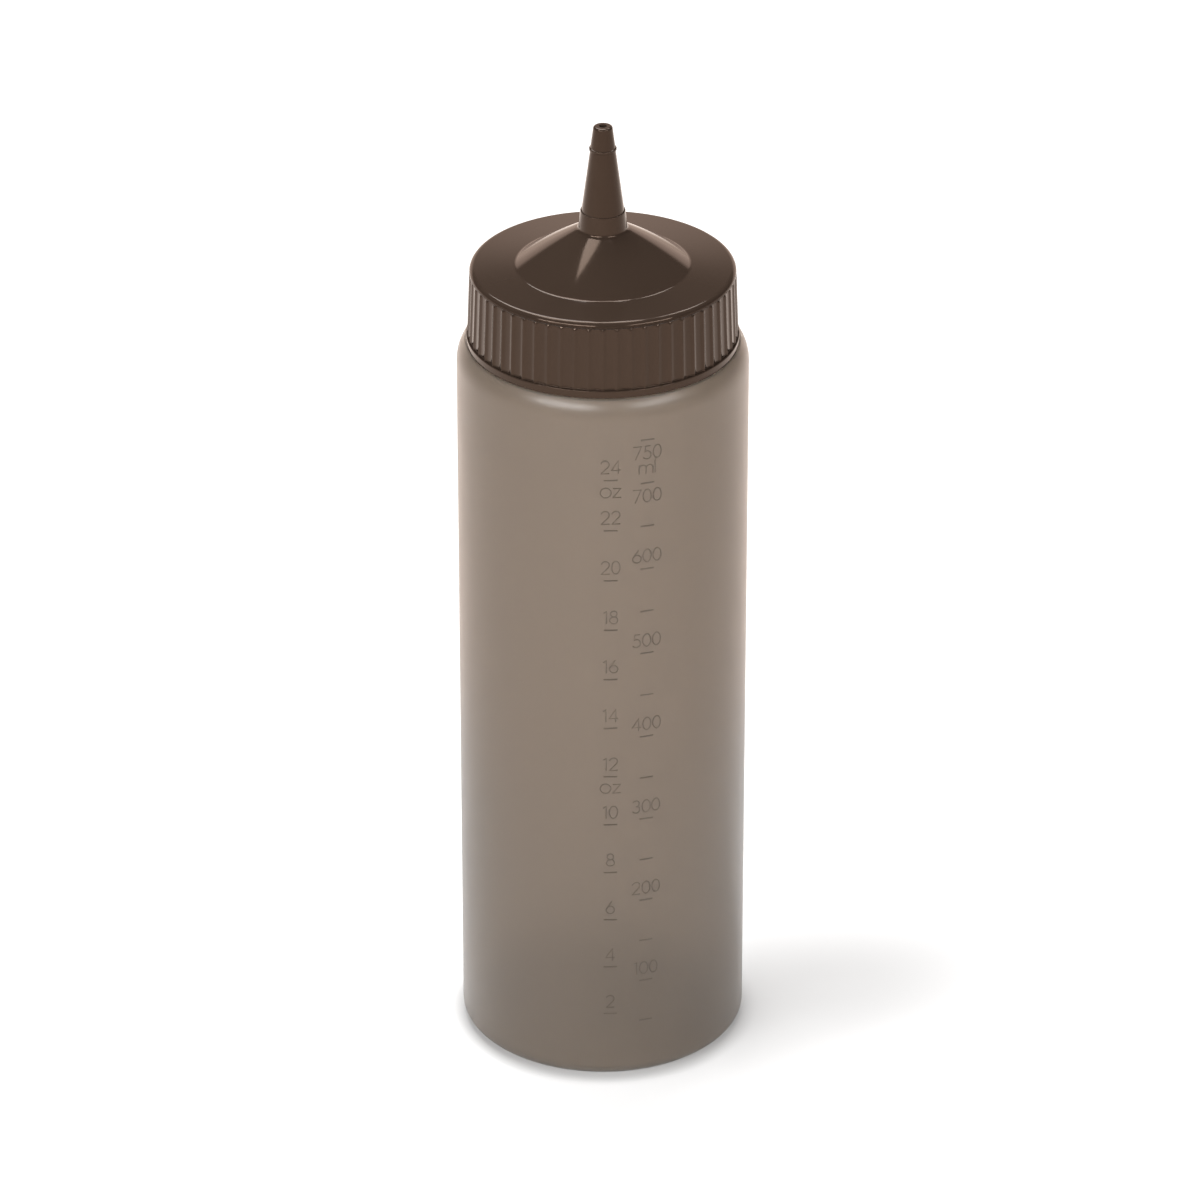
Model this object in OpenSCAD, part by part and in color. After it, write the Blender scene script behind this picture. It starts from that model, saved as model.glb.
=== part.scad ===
// Squeeze bottle with a wide threaded neck and a screw cap that ends in a nozzle.
// Millimetres, +Z up. The origin is on the axis, level with the foot ring that the bottle stands on.
// The graduations face -Y.

/* [Body] */
// Outside diameter of the body
body_d = 74; // [66:0.5:90]
// Thickness of the blown wall
body_wall = 0.7; // [0.5:0.05:1]
// Thickness of the base
base_t = 1.2; // [0.8:0.1:2.5]
// Radius of the corner between the wall and the foot ring
corner_r = 3.3; // [3:0.1:6]
// Width of the flat foot ring
foot_w = 2.5; // [1.5:0.5:5]
// Rise of the middle of the base above the foot ring
push_up = 3; // [1.5:0.5:8]
// Height of the shoulder's flat top above the table
shoulder_z = 196.3; // [192:0.1:260]
// Radius of the curve that runs from the wall into the shoulder
shoulder_r = 10; // [8:0.5:14]
// How far below the flat top that curve starts
shoulder_drop = 5.6; // [3:0.1:6]

/* [Neck] */
// How far the neck stands in from the body's wall, measured between its threads
neck_inset = 7; // [6.6:0.1:10]
// Thickness of the neck's wall
neck_wall = 1.3; // [1:0.1:2]
// Height of the lip above the shoulder
neck_h = 18.1; // [17.2:0.1:24]
// Radius where the neck meets the shoulder
neck_fillet = 0.8; // [0.4:0.1:1]
// Rounding of the lip's edges
lip_round = 0.3; // [0.1:0.05:0.4]

/* [Thread] */
// Rise of the thread in one turn
thread_pitch = 4.8; // [4.4:0.1:5.4]
// Turns of thread on the neck, and in the cap
thread_turns = 1.6; // [1:0.1:1.8]
// Height of the ridge above its wall
thread_depth = 1.2; // [0.8:0.1:1.5]
// Width of the ridge at its wall
thread_root_w = 2; // [1.4:0.1:2.1]
// Width of the ridge at its crest
thread_crest_w = 0.9; // [0.5:0.1:1.3]
// Height of the neck ridge's lower end above the shoulder
thread_start_h = 7.2; // [6.2:0.1:7.5]
// Running gap between a crest and the wall that it faces
thread_gap = 0.4; // [0.3:0.05:0.8]
// Gap between the flanks that press together when the cap is tight
flank_gap = 0.3; // [0.2:0.05:0.5]

/* [Graduations] */
// Volume between two millilitre marks
ml_step = 50; // [25:25:100]
// Height at which the millilitre scale would read zero
ml_zero_z = 4.4; // [3:0.1:8]
// Volume in millilitres between two ounce marks
oz_step = 58.6; // [50:0.1:70]
// Height at which the ounce scale would read zero
oz_zero_z = 5.1; // [3:0.1:8]
// Least height between the highest mark and the shoulder's curve
scale_clear = 4; // [2:0.5:20]
// Bearing of the millilitre marks, to the right of the front
ml_bearing = 17.5; // [12:0.5:40]
// Bearing of the ounce marks, to the right of the front
oz_bearing = 3; // [-10:0.5:6]
// Length of a mark round the wall
mark_w = 4; // [2:0.5:6]
// Height of a mark along the wall
mark_h = 0.5; // [0.3:0.1:1]
// How far a mark stands out of the wall
mark_t = 0.12; // [0.05:0.01:0.3]

/* [Cap] */
// Gap between the shoulder and the cap's rim
rim_gap = 0.3; // [0.2:0.1:1]
// Thickness of the skirt where it meets the top, between the ribs
skirt_wall = 1.7; // [1.3:0.1:2.2]
// How far the skirt widens from its top to the flange
skirt_flare = 0.6; // [0.2:0.1:1]
// How far the top's edge stands out of the skirt between the ribs
rim_out = 0.35; // [0.05:0.05:0.5]
// Rounding of the cap's top edge
top_edge_r = 1.3; // [1:0.1:2]
// How far the crowned top falls from the cone's foot to that edge
crown = 0.5; // [0.1:0.05:0.6]
// Thickness of the top at the cone's foot
top_t = 1.5; // [1:0.1:2.5]
// Height of the plain flange at the rim
flange_h = 2; // [1.6:0.1:3.2]
// How far the flange stands out of the skirt
flange_w = 0.7; // [0.5:0.1:1.4]
// Bevel under the flange
flange_bevel = 0.2; // [0.1:0.05:0.6]
// Rounding of the flange's upper edge
flange_round = 0.4; // [0.2:0.1:0.9]
// Number of grip ribs round the skirt
rib_count = 60; // [40:4:72]
// Radius of a rib's rounded back
rib_r = 0.6; // [0.4:0.05:0.7]
// How far a rib stands out of the skirt
rib_out = 0.35; // [0.25:0.05:0.6]

/* [Cone and nozzle] */
// Radius of the cone's foot on the crowned top
cone_foot_r = 22; // [18:0.5:26]
// Slope of the cone
cone_slope = 32.5; // [25:0.5:40]
// Thickness of the cone's wall
cone_t = 1.4; // [1:0.1:1.8]
// Radius of the collar where the cone ends
collar_r = 6.2; // [6:0.1:8]
// Radius of the collar at its upper edge
collar_top_r = 5.65; // [5.3:0.05:5.9]
// Height of the collar
collar_h = 5; // [3:0.5:8]
// Radius where the cone runs into the collar
collar_fillet = 1.2; // [0.5:0.1:1.4]
// Width of the ledge on top of the collar
ledge_w = 0.27; // [0.1:0.01:0.4]
// Height of the trim bead above the ledge
bead_rise = 16.7; // [12:0.1:22]
// Radius of the nozzle just under the trim bead
bead_foot_r = 3.22; // [2.9:0.02:3.6]
// How far the trim bead stands out of the nozzle
bead_out = 0.24; // [0.1:0.02:0.4]
// Height of the trim bead
bead_h = 1; // [0.6:0.1:1.6]
// Height of the tip above the middle of the trim bead
tip_rise = 6.1; // [5:0.1:9]
// Radius of the nozzle under the tip's rounding
tip_r = 2.4; // [2.2:0.02:2.6]
// Rounding of the tip's lip
tip_round = 0.6; // [0.3:0.1:0.8]
// Thickness of the nozzle's wall
nozzle_wall = 1.1; // [0.9:0.1:1.3]
// Radius of the round outlet
outlet_r = 1; // [0.8:0.1:1.2]
// Length of the straight outlet
outlet_h = 3; // [2:0.5:3.5]

/* [Seal washer] */
// Thickness of the washer
washer_t = 1.2; // [0.8:0.1:2]
// Gap between the lip and the washer before the cap is pulled down hard
washer_gap = 0.1; // [0.05:0.05:0.3]
// Gap between the washer and the skirt
washer_side_gap = 0.3; // [0.2:0.1:0.8]
// How far the washer reaches inward past the lip
washer_overlap = 1.2; // [0.5:0.1:3]

/* [Hidden] */
$fn = 96;

bottle_color = [0.56, 0.5, 0.45, 0.6];
cap_color = [0.27, 0.22, 0.19];
washer_color = [0.86, 0.86, 0.84];

// Steps in a quarter of a circle, and in one turn of the thread
arc_steps = 8;
turn_steps = 48;
// Least width left of the flange's top beside its rounding
flange_land = 0.1;
// Steps over which a ridge grows from its wall, and how deep its root is sunk there
fade_steps = 4;
root_sink = 0.4;
// How deep a mark is sunk in the wall, and a rib in the flange
mark_sink = 0.2;
rib_sink = 0.4;
// Millilitres are cubic centimetres, and the lengths here are millimetres
mm3_per_ml = 1000;

body_r = body_d / 2;
bore_r = body_r - body_wall;
foot_out_r = body_r - corner_r;
foot_in_r = foot_out_r - foot_w;
neck_r = body_r - neck_inset;
neck_bore_r = neck_r - neck_wall;
lip_z = shoulder_z + neck_h;
curve_r = body_r - shoulder_r;
curve_z = shoulder_z - shoulder_drop;
curve_in_r = shoulder_r - body_wall;

skirt_in_r = neck_r + thread_depth + thread_gap;
skirt_r = skirt_in_r + skirt_wall;
skirt_foot_r = skirt_r + skirt_flare;
flange_r = skirt_foot_r + flange_w;
rim_z = shoulder_z + rim_gap;
flange_z = rim_z + flange_h;
flange_edge_r = min(flange_round, flange_w - flange_land);
under_z = lip_z + washer_gap + washer_t;
top_z = under_z + top_t;
edge_z = top_z - crown - top_edge_r;
flank_offset = (thread_root_w + thread_crest_w) / 2 + flank_gap;

cone_rise = (cone_foot_r - collar_r) * tan(cone_slope);
cone_drop = cone_t / cos(cone_slope);
collar_z = top_z + cone_rise;
ledge_z = collar_z + collar_h;
nozzle_foot_r = collar_top_r - ledge_w;
nozzle_taper = (nozzle_foot_r - bead_foot_r) / (bead_rise - bead_h / 2);
bead_z = ledge_z + bead_rise;
tip_z = bead_z + tip_rise;
channel_foot_r = collar_top_r - nozzle_wall;
cone_in_r = cone_foot_r - (cone_drop - top_t) / tan(cone_slope);
channel_z = top_z + (cone_foot_r - channel_foot_r) * tan(cone_slope) - cone_drop;

function arc(x, z, rx, rz, from, to, steps = arc_steps) =
    [for (i = [0:steps]) let (a = from + (to - from) * i / steps) [x + rx * cos(a), z + rz * sin(a)]];

// Height of the domed middle of the base at radius r, with the dome a part of a sphere
dome_r = (foot_in_r * foot_in_r + push_up * push_up) / (2 * push_up);
function dome_z(r) = push_up - dome_r + sqrt(dome_r * dome_r - r * r);

// Height of a volume in the body, and the number of marks that fit under the shoulder
ml_rise = mm3_per_ml / (PI * bore_r * bore_r);
function level_z(ml, zero_z) = zero_z + ml * ml_rise;
function mark_count(step, zero_z) = floor((curve_z - scale_clear - zero_z) / (step * ml_rise));

function bottle_outside() = concat(
    [for (i = [0:arc_steps]) let (r = foot_in_r * i / arc_steps) [r, dome_z(r)]],
    arc(foot_out_r, corner_r, corner_r, corner_r, -90, 0),
    arc(curve_r, curve_z, shoulder_r, shoulder_r, 0, asin(shoulder_drop / shoulder_r)),
    arc(neck_r + neck_fillet, shoulder_z + neck_fillet, neck_fillet, neck_fillet, 270, 180, arc_steps / 2),
    arc(neck_r - lip_round, lip_z - lip_round, lip_round, lip_round, 0, 90, arc_steps / 2)
);

function bottle_inside() = concat(
    arc(neck_bore_r + lip_round, lip_z - lip_round, lip_round, lip_round, 90, 180, arc_steps / 2),
    [[neck_bore_r, shoulder_z - body_wall]],
    arc(curve_r, curve_z, curve_in_r, curve_in_r, asin((shoulder_drop - body_wall) / curve_in_r), 0),
    arc(foot_out_r, corner_r, corner_r - body_wall, corner_r - base_t, 0, -90),
    [for (i = [0:arc_steps]) let (r = foot_in_r * (1 - i / arc_steps)) [r, dome_z(r) + base_t]]
);

// A helical ridge from root_r to crest_r: rings of four points along the helix, closed at both ends
module thread_ridge(root_r, crest_r, start_z) {
    steps = round(thread_turns * turn_steps);
    inward = crest_r < root_r;
    points = [
        for (i = [0:steps])
            let (
                a = 360 * i / turn_steps,
                z = start_z + thread_pitch * i / turn_steps,
                grown = min(1, i / fade_steps, (steps - i) / fade_steps),
                wall_r = root_r + (inward ? -root_sink : root_sink),
                r = wall_r + (crest_r - wall_r) * grown
            )
            each [
                [root_r * cos(a), root_r * sin(a), z - thread_root_w / 2],
                [r * cos(a), r * sin(a), z - thread_crest_w / 2],
                [r * cos(a), r * sin(a), z + thread_crest_w / 2],
                [root_r * cos(a), root_r * sin(a), z + thread_root_w / 2]
            ]
    ];
    sides = [
        for (i = [0:steps - 1], k = [0:3])
            let (p = 4 * i + k, q = 4 * i + (k + 1) % 4)
            each [[p, q, q + 4], [p, q + 4, p + 4]]
    ];
    e = 4 * steps;
    ends = [[3, 2, 1], [3, 1, 0], [e, e + 1, e + 2], [e, e + 2, e + 3]];
    faces = concat(sides, ends);
    polyhedron(points, inward ? [for (f = faces) [f[2], f[1], f[0]]] : faces);
}

// A raised mark of length mark_w round the wall, at height z and at a bearing to the right of the front
module mark(z, bearing) {
    half = mark_w / body_r * 90 / PI;
    translate([0, 0, z - mark_h / 2])
        rotate([0, 0, bearing - 90 - half])
            rotate_extrude(angle = 2 * half)
                translate([body_r - mark_sink, 0])
                    square([mark_sink + mark_t, mark_h]);
}

module bottle() {
    color(bottle_color) {
        rotate_extrude()
            polygon(concat(bottle_outside(), bottle_inside()));
        thread_ridge(neck_r - root_sink, neck_r + thread_depth, shoulder_z + thread_start_h);
        for (i = [1:mark_count(ml_step, ml_zero_z)])
            mark(level_z(i * ml_step, ml_zero_z), ml_bearing);
        for (i = [1:mark_count(oz_step, oz_zero_z)])
            mark(level_z(i * oz_step, oz_zero_z), oz_bearing);
    }
}

function cap_outside() = concat(
    [
        [skirt_in_r, rim_z],
        [flange_r - flange_bevel, rim_z],
        [flange_r, rim_z + flange_bevel]
    ],
    arc(flange_r - flange_edge_r, flange_z - flange_edge_r, flange_edge_r, flange_edge_r, 0, 90, arc_steps / 2),
    [[skirt_foot_r, flange_z]],
    [[skirt_r, edge_z - rim_out]],
    arc(skirt_r + rim_out - top_edge_r, edge_z, top_edge_r, top_edge_r, 0, 90),
    [[cone_foot_r, top_z]],
    cone_to_collar(),
    [
        [collar_top_r, ledge_z],
        [nozzle_foot_r, ledge_z],
        [bead_foot_r, bead_z - bead_h / 2],
        [bead_foot_r + bead_out, bead_z - bead_h / 4],
        [bead_foot_r + bead_out, bead_z + bead_h / 4],
        [bead_foot_r - nozzle_taper * bead_h, bead_z + bead_h / 2]
    ],
    arc(tip_r - tip_round, tip_z - tip_round, tip_round, tip_round, 0, 90, arc_steps / 2)
);

// The hollow curve between the cone and the collar, tangent to the cone's slope and nearly upright at its end
function cone_to_collar() =
    let (
        turn = 90 - cone_slope,
        run = collar_fillet * tan(turn / 2),
        x = collar_r + collar_fillet,
        z = collar_z + run
    )
    arc(x, z, collar_fillet, collar_fillet, 270 - cone_slope, 180, arc_steps / 2);

function cap_inside() = [
    [outlet_r, tip_z],
    [outlet_r, tip_z - outlet_h],
    [bead_foot_r - nozzle_wall, bead_z],
    [nozzle_foot_r - nozzle_wall, ledge_z],
    [channel_foot_r, channel_z],
    [cone_in_r, under_z],
    [skirt_in_r, under_z]
];

// A grip rib that leans with the flared skirt and narrows at its upper end
module rib() {
    base_z = flange_z - rib_sink;
    length = edge_z - rib_r - base_z;
    lean = atan(skirt_flare / (edge_z - flange_z));
    translate([skirt_foot_r + rib_out - rib_r, 0, base_z])
        rotate([0, -lean, 0]) {
            cylinder(h = length, r = rib_r);
            translate([0, 0, length])
                cylinder(h = rib_r, r1 = rib_r, r2 = rib_r / 2);
        }
}

module cap() {
    color(cap_color) {
        rotate_extrude()
            polygon(concat(cap_outside(), cap_inside()));
        for (i = [0:rib_count - 1])
            rotate([0, 0, 360 * i / rib_count])
                rib();
        thread_ridge(skirt_in_r + root_sink, skirt_in_r - thread_depth, shoulder_z + thread_start_h - flank_offset);
    }
}

module seal_washer() {
    color(washer_color)
        translate([0, 0, lip_z + washer_gap])
            difference() {
                cylinder(h = washer_t, r = skirt_in_r - washer_side_gap);
                translate([0, 0, -1])
                    cylinder(h = washer_t + 2, r = neck_bore_r - washer_overlap);
            }
}

bottle();
cap();
seal_washer();
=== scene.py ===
"""Dresses the squeeze bottle's CAD frame: frosted body with a raised scale, ribbed cap and seal washer."""
import logging
import math
from dataclasses import dataclass, field
from enum import Enum
from typing import Sequence, Union

import bpy
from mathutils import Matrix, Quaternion, Vector


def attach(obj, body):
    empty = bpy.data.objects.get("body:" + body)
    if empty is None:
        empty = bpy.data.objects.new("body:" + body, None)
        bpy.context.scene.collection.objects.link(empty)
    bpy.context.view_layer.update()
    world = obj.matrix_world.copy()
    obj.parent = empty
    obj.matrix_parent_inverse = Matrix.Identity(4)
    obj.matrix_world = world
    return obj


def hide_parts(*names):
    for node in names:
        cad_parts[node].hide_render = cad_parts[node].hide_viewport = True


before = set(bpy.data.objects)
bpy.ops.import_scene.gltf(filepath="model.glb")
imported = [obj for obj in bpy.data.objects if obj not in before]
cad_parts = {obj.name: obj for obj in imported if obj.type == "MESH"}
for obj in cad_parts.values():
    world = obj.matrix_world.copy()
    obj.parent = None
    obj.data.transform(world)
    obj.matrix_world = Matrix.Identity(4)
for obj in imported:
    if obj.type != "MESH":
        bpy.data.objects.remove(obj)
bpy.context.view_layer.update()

log = logging.getLogger("squeeze_bottle")

MM = 0.001
TURN = 2 * math.pi
MERGE_DISTANCE = 1e-6
THREAD_SUNK = 0.4
THREAD_PROUD = 1.2
LAMP_AIM_Z = 0.217

Point = tuple[float, float]
SpacePoint = tuple[float, float, float]
Value = Union[float, tuple, "Signal"]


# Modelling helpers

def only(obj: bpy.types.Object) -> bpy.types.Object:
    """Makes one object the only selected and the active one.

    Args:
        obj: The object that the next operator works on.

    Returns:
        The same object.
    """
    bpy.ops.object.select_all(action="DESELECT")
    obj.select_set(True)
    bpy.context.view_layer.objects.active = obj
    return obj


def line_object(
    name: str, lines: Sequence[Sequence[Sequence[float]]], closed: bool = False, radii: Sequence[float] = ()
) -> bpy.types.Object:
    """Draws straight-sided lines in space as one curve object.

    Args:
        name: The object's name.
        lines: The lines, each a row of (x, y, z) points in millimetres.
        closed: Whether each line ends where it starts.
        radii: The relative thickness at each point, the same for all lines; all 1 where it is empty.

    Returns:
        The curve object, linked to the scene.
    """
    curve = bpy.data.curves.new(name, "CURVE")
    curve.dimensions = "3D"
    for points in lines:
        spline = curve.splines.new("POLY")
        spline.points.add(len(points) - 1)
        for i, (node, point) in enumerate(zip(spline.points, points)):
            node.co = (point[0] * MM, point[1] * MM, point[2] * MM, 1)
            node.radius = radii[i] if radii else 1
        spline.use_cyclic_u = closed
    obj = bpy.data.objects.new(name, curve)
    bpy.context.scene.collection.objects.link(obj)
    return obj


def clean_mesh(obj: bpy.types.Object) -> bpy.types.Object:
    """Merges the doubles of a mesh and turns its faces outwards.

    Args:
        obj: The mesh object.

    Returns:
        The same object.
    """
    only(obj)
    bpy.ops.object.mode_set(mode="EDIT")
    bpy.ops.mesh.select_all(action="SELECT")
    bpy.ops.mesh.remove_doubles(threshold=MERGE_DISTANCE)
    bpy.ops.mesh.normals_make_consistent(inside=False)
    bpy.ops.object.mode_set(mode="OBJECT")
    return obj


def smooth(obj: bpy.types.Object, angle: float = 32) -> bpy.types.Object:
    """Shades a mesh smooth where its faces meet at a small angle.

    Args:
        obj: The mesh object.
        angle: The largest angle between two faces that is shaded smooth, in degrees.

    Returns:
        The same object.
    """
    only(obj)
    bpy.ops.object.shade_smooth_by_angle(angle=math.radians(angle))
    return obj


def spun(name: str, outline: "Outline", steps: int, start: float = 0, turn: float = TURN) -> bpy.types.Object:
    """Spins an outline round the Z axis.

    Args:
        name: The object's name.
        outline: The outline; a whole turn closes it if it is closed or has both of its ends on the axis.
        steps: The number of steps in the turn.
        start: The bearing that it starts from, in radians from the X axis.
        turn: How far it turns, in radians. The operator's own angle runs the other way round.

    Returns:
        The mesh object, at the origin.
    """
    points = [(r * math.cos(start), r * math.sin(start), z) for r, z in outline.points()]
    obj = only(line_object(name, [points], closed=outline.closed))
    bpy.ops.object.convert(target="MESH")
    bpy.ops.object.mode_set(mode="EDIT")
    bpy.ops.mesh.select_all(action="SELECT")
    bpy.ops.mesh.spin(steps=steps, angle=-turn, center=(0, 0, 0), axis=(0, 0, 1))
    bpy.ops.object.mode_set(mode="OBJECT")
    return clean_mesh(obj)


def repeated(obj: bpy.types.Object, count: int) -> bpy.types.Object:
    """Repeats a sector round the Z axis and joins the copies into one closed mesh.

    Args:
        obj: The sector, which fills one part of the turn.
        count: The number of sectors in the whole turn.

    Returns:
        The same object.
    """
    bpy.ops.object.select_all(action="DESELECT")
    bpy.ops.object.empty_add(rotation=(0, 0, TURN / count))
    turner = bpy.context.active_object
    only(obj)
    array = obj.modifiers.new("array", "ARRAY")
    array.count = count
    array.use_relative_offset = False
    array.use_object_offset = True
    array.offset_object = turner
    bpy.ops.object.modifier_apply(modifier=array.name)
    bpy.data.objects.remove(turner)
    return clean_mesh(obj)


def ride(obj: bpy.types.Object, body: str, material: bpy.types.Material) -> bpy.types.Object:
    """Puts a finished piece on its body and gives it its finish.

    Args:
        obj: The finished mesh.
        body: The CAD body that it moves with.
        material: The finish.

    Returns:
        The same object.
    """
    obj.data.materials.clear()
    obj.data.materials.append(material)
    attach(obj, body)
    log.info("%s: %d faces, on %s", obj.name, len(obj.data.polygons), body)
    return obj


@dataclass
class Outline:
    """A line of corners that is spun round the axis. Sizes in millimetres.

    Attributes:
        corners: The corners so far, as (radius, height, rounding).
        closed: Whether the last corner joins the first.
        arc_step: The largest step along a rounding, in degrees.
        least_steps: The fewest steps in a rounding.
        guard: How far beyond a rounding an extra point keeps the straight stretch straight.
    """

    corners: list[tuple[float, float, float]] = field(default_factory=list)
    closed: bool = False
    arc_step: float = 6
    least_steps: int = 2
    guard: float = 0.12

    def to(self, r: float, z: float, rounding: float = 0) -> "Outline":
        """Adds a corner, which may be rounded."""
        self.corners.append((r, z, rounding))
        return self

    def arc(self, r: float, z: float, radius: float, start: float, end: float) -> "Outline":
        """Adds the points of an arc.

        Args:
            r: The radius at which its centre lies.
            z: The height at which its centre lies.
            radius: Its own radius.
            start: The angle that it starts from, in degrees above the level.
            end: The angle that it ends at.

        Returns:
            The outline itself.
        """
        steps = max(self.least_steps, math.ceil(abs(end - start) / self.arc_step))
        for i in range(steps + 1):
            a = math.radians(start + (end - start) * i / steps)
            self.to(r + radius * math.cos(a), z + radius * math.sin(a))
        return self

    def bow(self, r: float, z: float, bulge: float, steps: int = 8) -> "Outline":
        """Adds the points of a slightly bowed line, without its two ends.

        Args:
            r: The radius at which the line ends.
            z: The height at which it ends.
            bulge: How far it stands out of the straight line in its middle.
            steps: The number of steps in it.

        Returns:
            The outline itself.
        """
        first, last = Vector(self.corners[-1][:2]), Vector((r, z))
        out = Vector((last.y - first.y, first.x - last.x)).normalized()
        for i in range(1, steps):
            share = i / steps
            point = first.lerp(last, share) + out * 4 * bulge * share * (1 - share)
            self.to(point.x, point.y)
        return self

    def points(self) -> list[Point]:
        """Rounds the corners.

        Returns:
            The line's points, as (radius, height).
        """
        line = []
        for i, (r, z, rounding) in enumerate(self.corners):
            here = Vector((r, z))
            if not rounding:
                line.append((r, z))
                continue
            back = (Vector(self.corners[i - 1][:2]) - here).normalized()
            ahead = (Vector(self.corners[(i + 1) % len(self.corners)][:2]) - here).normalized()
            half = back.angle(ahead) / 2
            run = rounding / math.tan(half)
            centre = here + (back + ahead).normalized() * rounding / math.sin(half)
            arm = here + back * run - centre
            turn = math.copysign(math.pi - 2 * half, back.cross(ahead))
            steps = max(self.least_steps, math.ceil(abs(math.degrees(turn)) / self.arc_step))
            line.append(tuple(here + back * (run + self.guard)))
            for k in range(steps + 1):
                a = -turn * k / steps
                cos, sin = math.cos(a), math.sin(a)
                line.append(tuple(centre + Vector((arm.x * cos - arm.y * sin, arm.x * sin + arm.y * cos))))
            line.append(tuple(here + ahead * (run + self.guard)))
        return line


# Shading helpers

@dataclass(frozen=True)
class Signal:
    """A shader socket that can be used in sums.

    Attributes:
        shader: The material that the socket belongs to.
        socket: The output socket.
    """

    shader: "Shader"
    socket: bpy.types.NodeSocket

    def _maths(self, operation: str, *values: Value) -> "Signal":
        """Adds a Math node for an operation on this socket's value and others."""
        return self.shader.node("ShaderNodeMath", {"operation": operation}, dict(enumerate(values)))

    def __add__(self, other: Value) -> "Signal":
        """self + other."""
        return self._maths("ADD", self, other)

    __radd__ = __add__

    def __mul__(self, other: Value) -> "Signal":
        """self * other."""
        return self._maths("MULTIPLY", self, other)

    __rmul__ = __mul__

    def __sub__(self, other: Value) -> "Signal":
        """self - other."""
        return self._maths("SUBTRACT", self, other)

    def __rsub__(self, other: Value) -> "Signal":
        """other - self."""
        return self._maths("SUBTRACT", other, self)

    def larger(self, other: Value) -> "Signal":
        """The larger of self and other."""
        return self._maths("MAXIMUM", self, other)


class Shader:
    """One material, or the world, and the nodes in it."""

    def __init__(self, owner: Union[bpy.types.Material, bpy.types.World]) -> None:
        """Clears the owner's nodes.

        Args:
            owner: The material or world to build.
        """
        owner.use_nodes = True
        self.owner = owner
        self.tree = owner.node_tree
        self.tree.nodes.clear()

    def node(
        self, kind: str, settings: dict | None = None, inputs: dict | None = None, output: int | str = 0
    ) -> Signal:
        """Adds any node.

        Args:
            kind: The node's type.
            settings: Its own settings, which are set first.
            inputs: Values or signals for its sockets, by name or number.
            output: The output socket that is given back.

        Returns:
            The chosen output as a signal.
        """
        node = self.tree.nodes.new(kind)
        for key, value in (settings or {}).items():
            setattr(node, key, value)
        for key, value in (inputs or {}).items():
            if isinstance(value, Signal):
                self.tree.links.new(value.socket, node.inputs[key])
            else:
                node.inputs[key].default_value = value
        return Signal(self, node.outputs[output])

    def place(self, scale: Sequence[float] = (1, 1, 1)) -> Signal:
        """The place on the piece, from its object coordinates, stretched by a scale."""
        where = self.node("ShaderNodeTexCoord", output="Object")
        return self.node("ShaderNodeMapping", {}, {"Vector": where, "Scale": tuple(scale)})

    def noise(self, scale: float, detail: float = 2, stretch: Sequence[float] = (1, 1, 1)) -> Signal:
        """Even noise from 0 to 1.

        Args:
            scale: Its scale per metre.
            detail: Its octaves.
            stretch: How much faster it runs along each axis.

        Returns:
            The noise value.
        """
        inputs = {"Vector": self.place(stretch), "Scale": scale, "Detail": detail}
        return self.node("ShaderNodeTexNoise", {}, inputs)

    def length(self, vector: Signal) -> Signal:
        """The length of a vector."""
        return self.node("ShaderNodeVectorMath", {"operation": "LENGTH"}, {0: vector}, "Value")

    def ramp(self, value: Value, low: float, high: float, start: float, end: float) -> Signal:
        """Runs smoothly from one number to another while a value runs from low to high.

        Args:
            value: The value.
            low: The value at which the ramp starts.
            high: The value at which it ends.
            start: The number at its start.
            end: The number at its end.

        Returns:
            The ramp's number.
        """
        settings = {"interpolation_type": "SMOOTHSTEP"}
        inputs = {"Value": value, "From Min": low, "From Max": high, "To Min": start, "To Max": end}
        return self.node("ShaderNodeMapRange", settings, inputs)

    def blend(self, factor: Value, first: Value, second: Value) -> Signal:
        """Mixes two colours by a factor.

        Args:
            factor: 0 gives the first colour and 1 the second.
            first: The first colour.
            second: The second colour.

        Returns:
            The mixed colour.
        """
        # On this node inputs 6 and 7 are the two colours, and output 2 is the mixed one.
        settings = {"data_type": "RGBA"}
        return self.node("ShaderNodeMix", settings, {0: factor, 6: _rgba(first), 7: _rgba(second)}, 2)

    def bump(self, height: Value, distance: float, strength: float) -> Signal:
        """Turns a height into a bumped normal.

        Args:
            height: The height, from 0 to 1.
            distance: How high 1 stands, in metres.
            strength: The bump's strength.

        Returns:
            The normal.
        """
        inputs = {"Height": height, "Distance": distance, "Strength": strength}
        return self.node("ShaderNodeBump", {}, inputs)

    def finish(self, surface: Signal) -> Union[bpy.types.Material, bpy.types.World]:
        """Joins the surface to the output.

        Args:
            surface: The finished shader.

        Returns:
            The material or world.
        """
        is_world = isinstance(self.owner, bpy.types.World)
        output = self.tree.nodes.new("ShaderNodeOutputWorld" if is_world else "ShaderNodeOutputMaterial")
        self.tree.links.new(surface.socket, output.inputs["Surface"])
        return self.owner


def _rgba(colour: Value) -> Value:
    """Adds the fourth number to a plain colour."""
    return colour if isinstance(colour, Signal) or len(colour) == 4 else (*colour, 1)


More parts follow.
